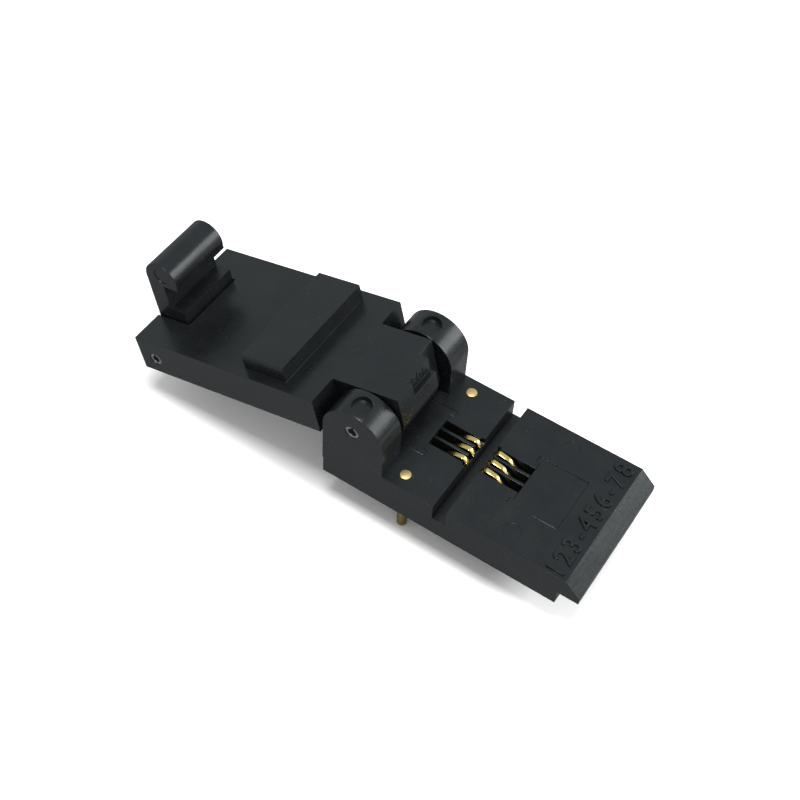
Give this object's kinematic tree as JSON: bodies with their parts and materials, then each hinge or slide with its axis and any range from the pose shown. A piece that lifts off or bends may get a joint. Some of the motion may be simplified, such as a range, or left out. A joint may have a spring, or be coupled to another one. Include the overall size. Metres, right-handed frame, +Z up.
{
  "type": "ic test socket",
  "caption": "Clamshell test socket for a small surface-mount chip, hinged lid swung open past flat, sprung snap latch",
  "frame": {"origin": "on the board face of the base, straight below the middle of the chip nest", "axes": "+X from the hinge towards the catch end of the base, +Y across the socket along the hinge, +Z up from the board"},
  "size_m": [0.0416, 0.012, 0.0126],
  "materials": {
    "black_plastic": "fine moulded grain, dusty and lightly scuffed",
    "gold": "gold-plated spring strip",
    "steel": "rolled spring steel"
  },
  "bodies": {
    "base": {"base_body": "black_plastic", "retainer_plug_front": "black_plastic", "retainer_plug_rear": "black_plastic", "board_post_near": "gold", "board_post_far": "gold", "contact_front_1": "gold", "contact_front_2": "gold", "contact_front_3": "gold", "contact_rear_1": "gold", "contact_rear_2": "gold", "contact_rear_3": "gold", "hinge_pin": "steel"},
    "lid_body": {"lid": "black_plastic", "latch_pin": "steel", "latch_spring": "steel"},
    "latch_body": {"latch": "black_plastic"}
  },
  "joints": [
    {"name": "lid_hinge", "type": "hinge", "parent": "base", "child": "lid_body", "pos_m": [-0.0079, 0, 0.00675], "axis": [0, 1, 0], "range_deg": [0, 184]},
    {"name": "latch_pivot", "type": "hinge", "parent": "lid_body", "child": "latch_body", "pos_m": [-0.02672, 0, 0.00192], "axis": [0, -1, 0], "range_deg": [0, 23], "stiffness_Nm_per_rad": 0.0006, "springref_deg": -8.59}
  ]
}
